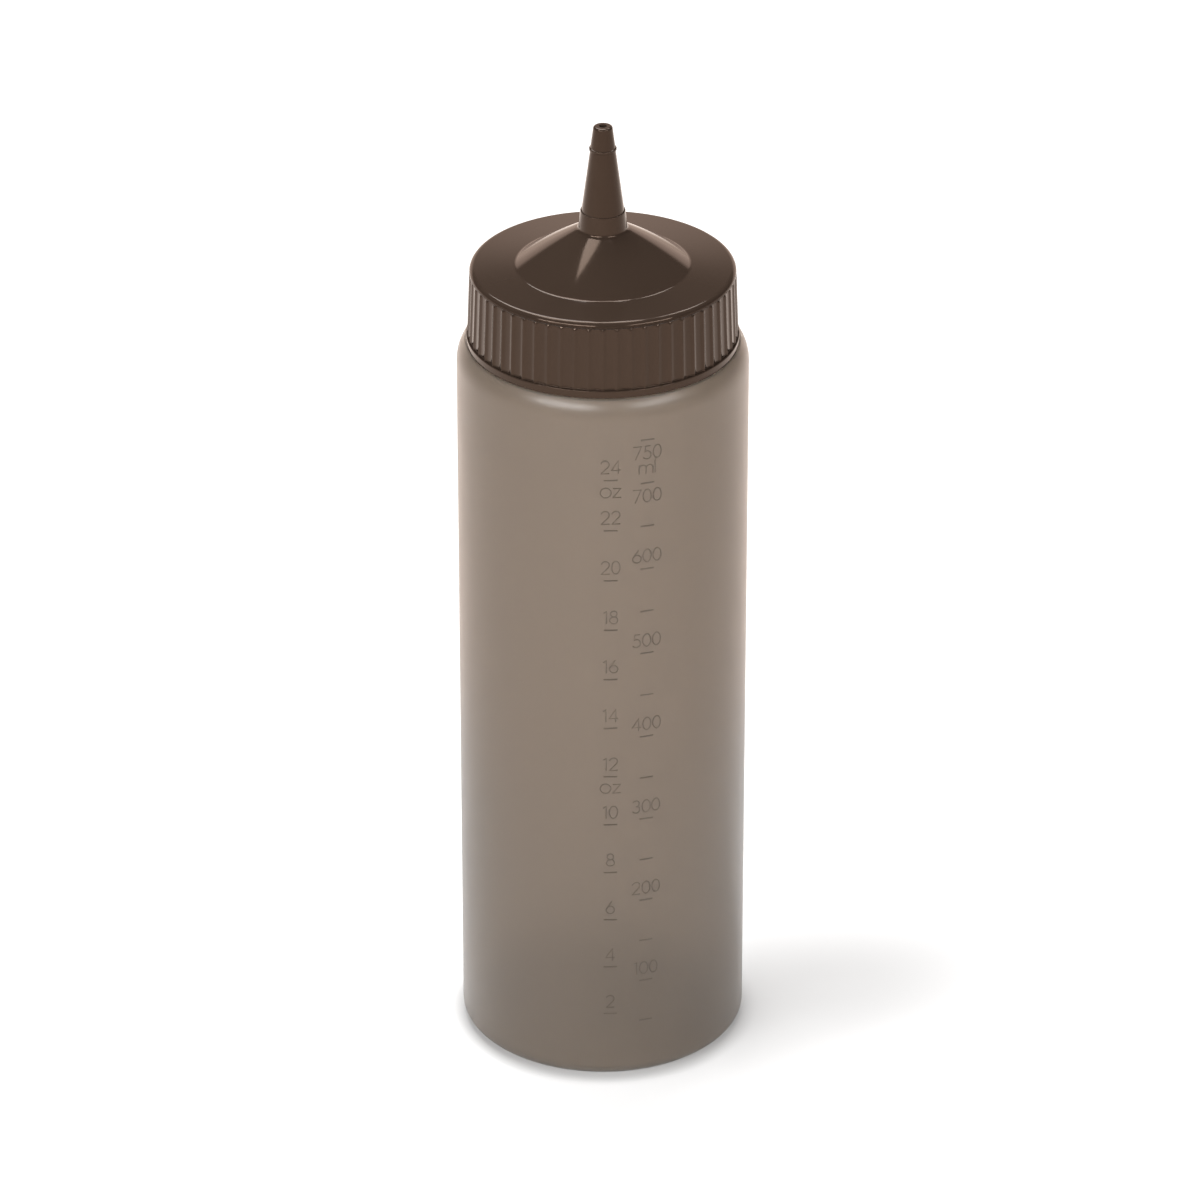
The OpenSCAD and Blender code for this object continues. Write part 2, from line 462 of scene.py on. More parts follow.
@dataclass(frozen=True)
class FrostedPlastic:
    """The body's translucent brown plastic, with the fine frosting that the blow mould gives it.

    Attributes:
        name: The material's name.
        colour: The plastic's colour.
        deep_colour: Its colour where the wall came out a little thicker.
        transmission: The share of light that passes through.
        ior: Its index of refraction.
        roughness: The frosting's roughness where it is smoothest.
        roughness_more: How much rougher it is where it is roughest.
        flow: Changes in the wall's thickness per metre.
        flow_detail: Octaves in those changes.
        flow_stretch: How much faster they run along each axis.
        grain: The frosting's grains per metre.
        grain_detail: Octaves in the grains.
        grain_height: How high the grains stand, in metres.
        bump: The strength of their relief.
    """

    name: str = "frosted_wall"
    colour: tuple = (0.434, 0.374, 0.317)
    deep_colour: tuple = (0.414, 0.354, 0.299)
    transmission: float = 0.8
    ior: float = 1.4
    roughness: float = 0.28
    roughness_more: float = 0.06
    flow: float = 14
    flow_detail: float = 2
    flow_stretch: tuple = (1, 1, 0.35)
    grain: float = 2600
    grain_detail: float = 3
    grain_height: float = 0.00001
    bump: float = 0.2

    def material(self) -> bpy.types.Material:
        """Builds the material.

        Returns:
            The material.
        """
        shader = Shader(bpy.data.materials.new(self.name))
        thickness = shader.noise(self.flow, self.flow_detail, self.flow_stretch)
        frosting = shader.noise(self.grain, self.grain_detail)
        surface = shader.node("ShaderNodeBsdfPrincipled", {}, {
            "Base Color": shader.blend(thickness, self.colour, self.deep_colour),
            "Roughness": self.roughness + self.roughness_more * frosting,
            "IOR": self.ior,
            "Transmission Weight": self.transmission,
            "Normal": shader.bump(frosting, self.grain_height, self.bump),
        })
        return shader.finish(surface)


RIDGE_PLASTIC = FrostedPlastic("frosted_ridge", (0.330, 0.282, 0.238), (0.315, 0.267, 0.224))
"""The raised marks and numerals, where the light passes through more plastic."""


@dataclass(frozen=True)
class GlossyPlastic:
    """The cap's dark glossy plastic.

    Attributes:
        name: The material's name.
        colour: The plastic's colour.
        worn_colour: Its colour where handling has dulled it.
        roughness: Its roughness where it is smoothest.
        roughness_more: How much rougher it is where it is roughest.
        specular: The strength of its reflection.
        tint: The reflection's tint where it is looked at straight on.
        flow: The moulding's soft waves per metre.
        flow_detail: Octaves in the waves.
        flow_height: How high the waves stand, in metres.
        bump: The strength of their relief.
        scuff: Fine scuffs per metre.
        scuff_detail: Octaves in the scuffs.
    """

    name: str = "cap_plastic"
    colour: tuple = (0.035, 0.0236, 0.0174)
    worn_colour: tuple = (0.039, 0.0260, 0.0191)
    roughness: float = 0.07
    roughness_more: float = 0.04
    specular: float = 0.25
    tint: tuple = (1.0, 0.72, 0.56)
    flow: float = 60
    flow_detail: float = 3
    flow_height: float = 0.00002
    bump: float = 0.2
    scuff: float = 900
    scuff_detail: float = 2

    def material(self) -> bpy.types.Material:
        """Builds the material.

        Returns:
            The material.
        """
        shader = Shader(bpy.data.materials.new(self.name))
        flow = shader.noise(self.flow, self.flow_detail)
        scuffs = shader.noise(self.scuff, self.scuff_detail)
        surface = shader.node("ShaderNodeBsdfPrincipled", {}, {
            "Base Color": shader.blend(flow, self.colour, self.worn_colour),
            "Roughness": self.roughness + self.roughness_more * scuffs,
            "Specular IOR Level": self.specular,
            "Specular Tint": _rgba(self.tint),
            "Normal": shader.bump(flow, self.flow_height, self.bump),
        })
        return shader.finish(surface)


@dataclass(frozen=True)
class WasherFoam:
    """The seal washer's pale foamed plastic.

    Attributes:
        name: The material's name.
        colour: The foam's colour.
        pore_colour: The foam's colour in its pores, a painted shade in those hollows.
        roughness: Its roughness in the pores.
        roughness_more: How much rougher it is between them.
        pores: Pores per metre.
        pore_detail: Octaves in the pores.
        pore_depth: How deep they are, in metres.
        bump: The strength of their relief.
    """

    name: str = "washer_foam"
    colour: tuple = (0.74, 0.74, 0.71)
    pore_colour: tuple = (0.60, 0.60, 0.57)
    roughness: float = 0.75
    roughness_more: float = 0.15
    pores: float = 2400
    pore_detail: float = 4
    pore_depth: float = 0.0001
    bump: float = 0.4

    def material(self) -> bpy.types.Material:
        """Builds the material.

        Returns:
            The material.
        """
        shader = Shader(bpy.data.materials.new(self.name))
        pores = shader.noise(self.pores, self.pore_detail)
        surface = shader.node("ShaderNodeBsdfPrincipled", {}, {
            # Painted shade: the foam is darker in its pores, where the bump is low.
            "Base Color": shader.blend(pores, self.pore_colour, self.colour),
            "Roughness": self.roughness + self.roughness_more * pores,
            "Normal": shader.bump(pores, self.pore_depth, self.bump),
        })
        return shader.finish(surface)


# The bottle

@dataclass
class Bottle:
    """The blown bottle: base, straight wall, shoulder and threaded neck. Sizes in millimetres.

    Attributes:
        radius: Outside radius of the body.
        wall: Thickness of the blown wall.
        base: Thickness of the base.
        corner: Radius of the corner at the base.
        foot_in: Inner radius of the flat foot ring.
        push_up: Rise of the middle of the base.
        shoulder_z: Height of the shoulder's flat top, which the cap's flange almost touches.
        curve: Radius of the curve that runs from the wall into the shoulder.
        curve_z: Height at which that curve starts.
        curve_edge: Rounding where the curve meets the flat top.
        neck: Outside radius of the neck.
        neck_bore: Inside radius of the neck.
        lip_z: Height of the lip.
        fillet: Radius where the neck meets the shoulder.
        lip: Rounding of the lip.
        thread_z: Height of the thread's lower end.
        steps: Steps in a whole turn.
        dome_steps: Steps from the axis to the foot ring.
    """

    radius: float = 37
    wall: float = 0.7
    base: float = 1.2
    corner: float = 3.3
    foot_in: float = 31.2
    push_up: float = 3
    shoulder_z: float = 196.57
    curve: float = 9.3
    curve_z: float = 190.7
    curve_edge: float = 0.15
    neck: float = 30
    neck_bore: float = 28.7
    lip_z: float = 214.4
    fillet: float = 0.8
    lip: float = 0.3
    thread_z: float = 203.5
    steps: int = 192
    dome_steps: int = 14

    def dome(self, lift: float, inward: bool) -> list[Point]:
        """Draws the pushed-up middle of the base.

        Args:
            lift: How far this side of the base lies above the underside.
            inward: Whether the line runs towards the axis.

        Returns:
            The line's points.
        """
        sphere = (self.foot_in ** 2 + self.push_up ** 2) / (2 * self.push_up)
        line = []
        for i in range(self.dome_steps + 1):
            r = self.foot_in * i / self.dome_steps
            line.append((r, self.push_up - sphere + math.sqrt(sphere ** 2 - r ** 2) + lift))
        return line[::-1] if inward else line

    def curve_end(self, z: float, radius: float) -> float:
        """The angle at which the shoulder's curve reaches a height, in degrees."""
        return math.degrees(math.asin((z - self.curve_z) / radius))

    def outline(self) -> Outline:
        """Draws the bottle's section.

        Returns:
            The section, from the axis round to the axis.
        """
        shape = Outline()
        for r, z in self.dome(0, inward=False):
            shape.to(r, z)
        shape.to(self.radius, 0, self.corner)
        curve_r = self.radius - self.curve
        shape.arc(curve_r, self.curve_z, self.curve, 0, self.curve_end(self.shoulder_z, self.curve))
        shape.corners[-1] = (*shape.corners[-1][:2], self.curve_edge)
        shape.to(self.neck, self.shoulder_z, self.fillet)
        shape.to(self.neck, self.lip_z, self.lip)
        shape.to(self.neck_bore, self.lip_z, self.lip)
        under_z = self.shoulder_z - self.wall
        inner = self.curve - self.wall
        shape.to(self.neck_bore, under_z)
        shape.arc(curve_r, self.curve_z, inner, self.curve_end(under_z, inner), 0)
        shape.to(self.radius - self.wall, self.base, self.corner - self.base)
        for r, z in self.dome(self.base, inward=True):
            shape.to(r, z)
        return shape

    def build(self, finish: bpy.types.Material) -> None:
        """Builds the body and the thread on its neck.

        Args:
            finish: The frosted plastic.
        """
        body = smooth(spun("bottle_body", self.outline(), self.steps))
        ride(body, "bottle", finish)
        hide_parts("bottle")
        thread = Thread(self.neck - THREAD_SUNK, self.neck + THREAD_PROUD, self.thread_z)
        ride(thread.build("neck_thread"), "bottle", finish)


@dataclass
class Thread:
    """A helical ridge with a flat crest, which fades into its wall at both ends. Sizes in millimetres.

    Attributes:
        root: Radius at which the ridge is sunk in its wall.
        crest: Radius of its crest.
        start_z: Height of its lower end.
        pitch: Rise in one turn.
        turns: Number of turns.
        root_w: Width at the root.
        crest_w: Width at the crest.
        turn_steps: Steps in one turn.
        fade_steps: Steps over which it fades.
        fade_end: Share of its section that is left at its ends.
    """

    root: float
    crest: float
    start_z: float
    pitch: float = 4.8
    turns: float = 1.6
    root_w: float = 2
    crest_w: float = 0.9
    turn_steps: int = 96
    fade_steps: int = 8
    fade_end: float = 0.3

    def build(self, name: str) -> bpy.types.Object:
        """Sweeps the ridge's section along the helix.

        Args:
            name: The object's name.

        Returns:
            The ridge as a closed mesh.
        """
        steps = round(self.turns * self.turn_steps)
        depth = self.crest - self.root
        section = [
            (0, -self.root_w / 2, 0),
            (depth, -self.crest_w / 2, 0),
            (depth, self.crest_w / 2, 0),
            (0, self.root_w / 2, 0),
        ]
        profile = line_object(name + "_section", [section], closed=True)
        path, radii = [], []
        for i in range(steps + 1):
            a = TURN * i / self.turn_steps
            z = self.start_z + self.pitch * a / TURN
            path.append((self.root * math.cos(a), self.root * math.sin(a), z))
            radii.append(max(self.fade_end, min(1, i / self.fade_steps, (steps - i) / self.fade_steps)))
        ridge = line_object(name, [path], radii=radii)
        ridge.data.twist_mode = "Z_UP"
        ridge.data.bevel_mode = "OBJECT"
        ridge.data.bevel_object = profile
        ridge.data.use_fill_caps = True
        only(ridge)
        bpy.ops.object.convert(target="MESH")
        bpy.data.objects.remove(profile)
        return smooth(clean_mesh(ridge))


class Place(Enum):
    """Where a label stands from its mark: the height of its foot above the mark, in millimetres."""

    ABOVE = 1.9
    BELOW = -5.35
    SECOND_LINE = -9.4
    UNIT_BELOW = -4.8


@dataclass
class Stroke:
    """One drawn line of a numeral, in a square of side 1 that is as high as the numeral.

    Attributes:
        points: The line's points so far.
        arc_step: The usual step along an arc, in degrees.
        least_steps: The fewest steps in an arc.
    """

    points: list[Point] = field(default_factory=list)
    arc_step: float = 22
    least_steps: int = 3

    def to(self, *points: Point) -> "Stroke":
        """Adds straight lines."""
        self.points.extend(points)
        return self

    def arc(self, x: float, y: float, rx: float, ry: float, start: float, end: float) -> "Stroke":
        """Adds part of an ellipse.

        Args:
            x: The centre across.
            y: The centre upwards.
            rx: The radius across.
            ry: The radius upwards.
            start: The angle that it starts from, in degrees.
            end: The angle that it ends at.

        Returns:
            The stroke itself.
        """
        steps = max(self.least_steps, round(abs(end - start) / self.arc_step))
        for i in range(steps + 1):
            a = math.radians(start + (end - start) * i / steps)
            self.points.append((x + rx * math.cos(a), y + ry * math.sin(a)))
        return self


def glyphs() -> dict[str, tuple[float, list[Stroke]]]:
    """Draws the plain single-line numerals and the letters of the two units.

    Returns:
        Each sign's width and strokes, as shares of the numerals' height.
    """
    return {
        "0": (0.6, [Stroke().arc(0.3, 0.5, 0.3, 0.5, 90, 450)]),
        "1": (0.3, [Stroke().to((0.02, 0.84), (0.22, 1), (0.22, 0))]),
        "2": (0.6, [Stroke().arc(0.3, 0.71, 0.28, 0.29, 165, -38).to((0.02, 0), (0.6, 0))]),
        "3": (0.58, [
            Stroke().arc(0.27, 0.76, 0.24, 0.24, 155, -90),
            Stroke().arc(0.27, 0.27, 0.29, 0.27, 90, -155),
        ]),
        "4": (0.64, [Stroke().to((0.64, 0.26), (0, 0.26), (0.48, 1), (0.48, 0))]),
        "5": (0.58, [Stroke().to((0.52, 1), (0.16, 1), (0.1, 0.56)).arc(0.26, 0.31, 0.31, 0.31, 118, -148)]),
        "6": (0.6, [Stroke().to((0.4, 1), (0.06, 0.42)), Stroke().arc(0.3, 0.3, 0.3, 0.3, 90, 450)]),
        "7": (0.58, [Stroke().to((0, 1), (0.58, 1), (0.16, 0))]),
        "8": (0.58, [
            Stroke().arc(0.29, 0.77, 0.23, 0.23, 90, 450),
            Stroke().arc(0.29, 0.27, 0.29, 0.27, 90, 450),
        ]),
        "m": (1.0, [
            Stroke().to((0, 0), (0, 0.68)),
            Stroke().arc(0.25, 0.43, 0.25, 0.25, 180, 0).to((0.5, 0)),
            Stroke().arc(0.75, 0.43, 0.25, 0.25, 180, 0).to((1, 0)),
        ]),
        "l": (0.04, [Stroke().to((0.02, 0), (0.02, 1))]),
        "o": (0.76, [Stroke().arc(0.38, 0.37, 0.38, 0.38, 90, 450)]),
        "z": (0.56, [Stroke().to((0, 0.7), (0.54, 0.7), (0, 0), (0.56, 0))]),
    }


GLYPHS = glyphs()


@dataclass
class Scale:
    """The two raised scales on the wall, with their marks and numerals. Sizes in millimetres.

    Attributes:
        radius: Radius of the wall that carries them.
        bore: Inside radius that the volumes are worked out from.
        proud: How far marks and numerals stand out of the wall.
        height: Height of a numeral.
        gap: Gap between two numerals, as a share of their height.
        stroke_r: Radius of a numeral's rounded stroke.
        mark_r: Radius of a mark's rounded bar.
        mark_w: Length of a mark.
        mark_steps: Steps in a mark.
        section_resolution: Resolution of a stroke's round section.
        smooth_angle: Largest angle that is shaded smooth, in degrees.
        ml_step: Millilitres from mark to mark.
        ml_marks: Number of millilitre marks.
        ml_zero_z: Height at which the millilitres start.
        ml_bearing: Bearing of their marks to the right of the front, in degrees.
        ml_label_step: Millilitres from numeral to numeral.
        ml_low_from: Volume from which the numerals stand under their marks.
        oz_step: Millilitres from one fluid ounce mark to the next.
        oz_per_mark: Fluid ounces from mark to mark.
        oz_marks: Number of fluid ounce marks.
        oz_zero_z: Height at which the fluid ounces start.
        oz_bearing: Bearing of their marks, in degrees.
        oz_unit_every: Marks from one name of the unit to the next.
    """

    radius: float = 37
    bore: float = 36.3
    proud: float = 0.12
    height: float = 3.6
    gap: float = 0.14
    stroke_r: float = 0.17
    mark_r: float = 0.25
    mark_w: float = 4
    mark_steps: int = 8
    section_resolution: int = 2
    smooth_angle: float = 50
    ml_step: float = 50
    ml_marks: int = 15
    ml_zero_z: float = 4.4
    ml_bearing: float = 17.5
    ml_label_step: int = 100
    ml_low_from: int = 700
    oz_step: float = 58.6
    oz_per_mark: int = 2
    oz_marks: int = 12
    oz_zero_z: float = 5.1
    oz_bearing: float = 3
    oz_unit_every: int = 6

    def level(self, volume: float, zero_z: float) -> float:
        """Height of a volume in millilitres on the wall."""
        return zero_z + volume / MM / (math.pi * self.bore ** 2)

    def on_wall(self, across: float, up: float, bearing: float, z: float, radius: float) -> SpacePoint:
        """Wraps a flat point round the wall.

        Args:
            across: Distance to the right of the bearing.
            up: Distance above z.
            bearing: Bearing to the right of the front, in degrees.
            z: Height.
            radius: Radius that the point lies at.

        Returns:
            The point in space.
        """
        a = math.radians(bearing) + across / self.radius
        return radius * math.sin(a), -radius * math.cos(a), z + up

    def text(self, words: str, bearing: float, z: float) -> list[list[SpacePoint]]:
        """Writes a label centred on a bearing.

        Args:
            words: The label.
            bearing: Its bearing, in degrees.
            z: The height of its foot.

        Returns:
            Its strokes on the wall.
        """
        signs = [GLYPHS[word] for word in words]
        width = sum(w for w, _ in signs) + self.gap * (len(signs) - 1)
        x = -width / 2
        depth = self.radius + self.proud - self.stroke_r
        lines = []
        for w, strokes in signs:
            for stroke in strokes:
                lines.append([
                    self.on_wall((x + px) * self.height, py * self.height, bearing, z, depth)
                    for px, py in stroke.points
                ])
            x += w + self.gap
        return lines

    def mark(self, bearing: float, z: float) -> list[SpacePoint]:
        """Draws one mark along the wall.

        Args:
            bearing: The bearing of its middle, in degrees.
            z: Its height.

        Returns:
            The mark's points.
        """
        depth = self.radius + self.proud - self.mark_r
        half = self.mark_w / 2 - self.mark_r
        steps = self.mark_steps
        return [self.on_wall(-half + 2 * half * i / steps, 0, bearing, z, depth) for i in range(steps + 1)]

    def build(self, finish: bpy.types.Material) -> None:
        """Builds all marks and all numerals.

        Args:
            finish: Their plastic.
        """
        marks, lines = [], []
        for i in range(1, self.ml_marks + 1):
            z = self.level(i * self.ml_step, self.ml_zero_z)
            marks.append(self.mark(self.ml_bearing, z))
            volume = round(i * self.ml_step)
            if volume >= self.ml_low_from:
                lines += self.text(str(volume), self.ml_bearing, z + Place.BELOW.value)
            elif volume % self.ml_label_step == 0:
                lines += self.text(str(volume), self.ml_bearing, z + Place.ABOVE.value)
        lines += self.text("ml", self.ml_bearing, z + Place.SECOND_LINE.value)
        for i in range(1, self.oz_marks + 1):
            z = self.level(i * self.oz_step, self.oz_zero_z)
            marks.append(self.mark(self.oz_bearing, z))
            lines += self.text(str(self.oz_per_mark * i), self.oz_bearing, z + Place.ABOVE.value)
            if i % self.oz_unit_every == 0:
                lines += self.text("oz", self.oz_bearing, z + Place.UNIT_BELOW.value)
        self.raise_lines("scale_marks", marks, self.mark_r, finish)
        self.raise_lines("scale_numerals", lines, self.stroke_r, finish)

    def raise_lines(self, name: str, lines: list, radius: float, finish: bpy.types.Material) -> None:
        """Gives lines on the wall a round section.

        Args:
            name: The piece's name.
            lines: The lines.
            radius: The section's radius.
            finish: The plastic.
        """
        strokes = line_object(name, lines)
        strokes.data.bevel_depth = radius * MM
        strokes.data.bevel_resolution = self.section_resolution
        strokes.data.use_fill_caps = True
        only(strokes)
        bpy.ops.object.convert(target="MESH")
        ride(smooth(clean_mesh(strokes), self.smooth_angle), "bottle", finish)


# The cap

@dataclass
class Cap:
    """The screw cap: ribbed skirt, flange, crowned top, cone, collar and nozzle. Sizes in millimetres.

    Attributes:
        bore: Inside radius of the skirt.
        skirt: Outside radius of the skirt at its top, between the ribs.
        skirt_foot: The same at its foot.
        flange: Radius of the flange.
        bevel: Rounding of the flange's lower edge.
        flange_round: Rounding of its upper edge.
        flange_fillet: Radius where the skirt runs into the flange.
        rim_z: Height of the flange's underside.
        flange_z: Height of its upper side.
        under_z: Height of the underside of the top.
        top_z: Height of the top at the cone's foot.
        crown: How far the top falls from the cone's foot to its edge.
        rim_out: How far the top's edge stands out of the skirt between the ribs.
        edge: Rounding of the top's edge.
        cone_foot: Radius of the cone's foot.
        cone_slope: Slope of the cone's side, in degrees.
        cone_bulge: How far the cone's side is bowed outwards.
        cone_drop: How far the cone's hollow lies under its side.
        foot_fillet: Radius where the top runs into the cone.
        collar: Radius of the collar at its foot.
        collar_top: The same at its top.
        collar_h: Height of the collar.
        collar_fillet: Radius where the cone runs into the collar.
        ledge: Width of the ledge on the collar.
        ledge_round: Rounding of the ledge's edge.
        bead_rise: Height of the trim bead's middle above the ledge.
        bead_foot: Radius of the nozzle at the bead.
        bead_out: How far the bead stands out.
        bead_h: Height of the bead.
        bead_bevel: Height of the slope at each of its edges.
        bead_round: Rounding of its edges.
        bead_step: How much thinner the nozzle is above it.
        tip_rise: Height of the nozzle's tip above the bead's middle.
        tip: Radius of the tip.
        tip_round: Rounding of the tip.
        nozzle_wall: Thickness of the nozzle's wall.
        outlet: Radius of the outlet.
        outlet_h: Length of the outlet.
        ribs: Number of grip ribs.
        rib_out: How far a rib stands out.
        rib_half: Half of a rib's width, with the hollows that it runs out in.
        rib_tip: Height over which a rib's upper end falls back.
        rib_steps: Steps in the width that one rib and its gap take.
        rib_crowd: Power that draws those steps together on the rib.
        rib_rows: Where the skirt has rows of points, as shares of its height.
        slack: How far a point may lie from the skirt's foot and still belong to it.
        skirt_slack: How far a point may lie inside the skirt and still belong to it.
        smooth_angle: Largest angle that is shaded smooth, in degrees.
        thread_z: Height of the thread's lower end.
    """

    bore: float = 31.6
    skirt: float = 33.25
    skirt_foot: float = 33.85
    flange: float = 34.55
    bevel: float = 0.05
    flange_round: float = 0.30
    flange_fillet: float = 0.26
    rim_z: float = 196.6
    flange_z: float = 198.6
    under_z: float = 215.7
    top_z: float = 217.2
    crown: float = 0.5
    rim_out: float = 0.35
    edge: float = 1.3
    cone_foot: float = 22
    cone_slope: float = 32.5
    cone_bulge: float = 0.30
    cone_drop: float = 1.66
    foot_fillet: float = 1.1
    collar: float = 6.2
    collar_top: float = 5.65
    collar_h: float = 5
    collar_fillet: float = 1.2
    ledge: float = 0.27
    ledge_round: float = 0.12
    bead_rise: float = 16.7
    bead_foot: float = 3.22
    bead_out: float = 0.24
    bead_h: float = 0.8
    bead_bevel: float = 0.1
    bead_round: float = 0.2
    bead_step: float = 0.05
    tip_rise: float = 6.1
    tip: float = 2.4
    tip_round: float = 0.6
    nozzle_wall: float = 1.1
    outlet: float = 1
    outlet_h: float = 3
    ribs: int = 60
    rib_out: float = 0.38
    rib_half: float = 0.95
    rib_tip: float = 0.6
    rib_steps: int = 8
    rib_crowd: float = 1.4
    rib_rows: tuple = (0.015, 0.5, 0.9, 0.955, 0.965, 0.975, 0.985, 0.995)
    slack: float = 0.01
    skirt_slack: float = 0.05
    smooth_angle: float = 28
    thread_z: float = 201.75

    def outline(self) -> Outline:
        """Draws the cap's section.

        Returns:
            The closed section.
        """
        rise = math.tan(math.radians(self.cone_slope))
        rim_top_z = self.top_z - self.crown
        collar_z = self.top_z + (self.cone_foot - self.collar) * rise
        ledge_z = collar_z + self.collar_h
        bead_z = ledge_z + self.bead_rise
        bead_low, bead_high = bead_z - self.bead_h / 2, bead_z + self.bead_h / 2
        bead_r = self.bead_foot + self.bead_out
        tip_z = bead_z + self.tip_rise
        nozzle_foot = self.collar_top - self.ledge
        channel = self.collar_top - self.nozzle_wall
        top_wall = self.top_z - self.under_z
        shape = Outline(closed=True)
        shape.to(self.bore, self.rim_z)
        shape.to(self.flange, self.rim_z, self.bevel)
        shape.to(self.flange, self.flange_z, self.flange_round)
        shape.to(self.skirt_foot, self.flange_z, self.flange_fillet)
        for row in self.rib_rows:
            shape.to(*self.on_skirt(row))
        shape.to(self.skirt + self.rim_out, rim_top_z - self.edge, self.rim_out)
        shape.to(self.skirt + self.rim_out, rim_top_z, self.edge)
        shape.to(self.cone_foot, self.top_z, self.foot_fillet)
        shape.bow(self.collar, collar_z, self.cone_bulge)
        shape.to(self.collar, collar_z, self.collar_fillet)
        shape.to(self.collar_top, ledge_z, self.ledge_round)
        shape.to(nozzle_foot, ledge_z)
        shape.to(self.bead_foot, bead_low)
        shape.to(bead_r, bead_low + self.bead_bevel, self.bead_round)
        shape.to(bead_r, bead_high - self.bead_bevel, self.bead_round)
        shape.to(self.bead_foot - self.bead_step, bead_high)
        shape.to(self.tip, tip_z, self.tip_round)
        shape.to(self.outlet, tip_z)
        shape.to(self.outlet, tip_z - self.outlet_h)
        shape.to(self.bead_foot - self.nozzle_wall, bead_z)
        shape.to(nozzle_foot - self.nozzle_wall, ledge_z)
        shape.to(channel, self.top_z + (self.cone_foot - channel) * rise - self.cone_drop)
        shape.to(self.cone_foot - (self.cone_drop - top_wall) / rise, self.under_z)
        shape.to(self.bore, self.under_z)
        return shape

    def on_skirt(self, share: float) -> Point:
        """The skirt's point at a share of its height, as (radius, height)."""
        edge_z = self.top_z - self.crown - self.edge - self.rim_out
        return (
            self.skirt_foot + (self.skirt - self.skirt_foot) * share,
            self.flange_z + (edge_z - self.flange_z) * share,
        )

    def rib_height(self, across: float) -> float:
        """How far the rib's surface stands out of the skirt.

        Args:
            across: Distance from the rib's middle.

        Returns:
            The height, 0 beside the rib.
        """
        return self.rib_out * math.cos(min(1, across / self.rib_half) * math.pi / 2) ** 2

    def raise_rib(self, sector: bpy.types.Object) -> None:
        """Raises one rib out of the sector's skirt, with its points drawn together on the rib.

        Args:
            sector: The sector, with its middle on the X axis.
        """
        low_z = self.on_skirt(0)[1]
        high_z = self.on_skirt(1)[1]
        foot = self.skirt_foot + self.flange_fillet
        half = math.pi / self.ribs
        for vertex in sector.data.vertices:
            x, y, z = (c / MM for c in vertex.co)
            r = math.hypot(x, y)
            share = min(1, abs(math.atan2(y, x)) / half)
            a = math.copysign(share ** self.rib_crowd * half, y)
            if low_z - self.slack < z < high_z and self.skirt - self.skirt_slack < r < foot + self.slack:
                fade = min(1, (high_z - z) / self.rib_tip)
                wall = self.on_skirt((z - low_z) / (high_z - low_z))[0]
                r = max(r, wall + self.rib_height(abs(a) * r) * math.sqrt(fade))
            vertex.co.x, vertex.co.y = r * math.cos(a) * MM, r * math.sin(a) * MM

    def build(self, finish: bpy.types.Material) -> None:
        """Builds the cap and the thread inside its skirt.

        Args:
            finish: The glossy plastic.
        """
        pitch = TURN / self.ribs
        shell = spun("cap_shell", self.outline(), self.rib_steps, -pitch / 2, pitch)
        self.raise_rib(shell)
        smooth(repeated(shell, self.ribs), self.smooth_angle)
        ride(shell, "cap", finish)
        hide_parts("cap")
        thread = Thread(self.bore + THREAD_SUNK, self.bore - THREAD_PROUD, self.thread_z)
        ride(thread.build("cap_thread"), "cap", finish)


@dataclass
class SealWasher:
    """The flat sealing ring between the lip and the cap. Sizes in millimetres.

    Attributes:
        outer: Outside radius.
        inner: Inside radius.
        low_z: Height of its lower side.
        high_z: Height of its upper side.
        edge: Rounding of its edges.
        steps: Steps in a whole turn.
    """

    outer: float = 31.3
    inner: float = 27.5
    low_z: float = 214.5
    high_z: float = 215.7
    edge: float = 0.15
    steps: int = 96

    def build(self, finish: bpy.types.Material) -> None:
        """Builds the ring.

        Args:
            finish: Its foam.
        """
        shape = Outline(closed=True)
        shape.to(self.inner, self.low_z, self.edge)
        shape.to(self.outer, self.low_z, self.edge)
        shape.to(self.outer, self.high_z, self.edge)
        shape.to(self.inner, self.high_z, self.edge)
        ring = smooth(spun("seal_ring", shape, self.steps))
        ride(ring, "seal", finish)
        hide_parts("seal_washer")


# The stage

class Facing(Enum):
    """Which way a softbox faces."""

    CAP = "towards the cap"
    DOWN = "straight down"


@dataclass(frozen=True)
class Softbox:
    """One soft rectangular lamp.

    Attributes:
        name: The lamp's name.
        place: Its middle, in metres from the middle of the cap's top.
        width: Its width, in metres.
        height: Its height, in metres.
        radiance: How bright its face is, where 1 is white.
        facing: Which way it faces.
        turn: How far it is turned about its own axis, in degrees.
    """

    name: str
    place: SpacePoint
    width: float
    height: float
    radiance: float
    facing: Facing = Facing.CAP
    turn: float = 0

    def build(self) -> None:
        """Adds the lamp."""
        lamp = bpy.data.lights.new(self.name, "AREA")
        lamp.shape = "RECTANGLE"
        lamp.size, lamp.size_y = self.width, self.height
        lamp.energy = self.radiance * math.pi * self.width * self.height
        obj = bpy.data.objects.new(self.name, lamp)
        bpy.context.scene.collection.objects.link(obj)
        obj.location = Vector(self.place) + Vector((0, 0, LAMP_AIM_Z))
        turned = Quaternion((0, 0, 1), math.radians(self.turn))
        if self.facing is Facing.CAP:
            turned = (-Vector(self.place)).to_track_quat("-Z", "Y") @ turned
        obj.rotation_euler = turned.to_euler()
        obj.visible_camera = False


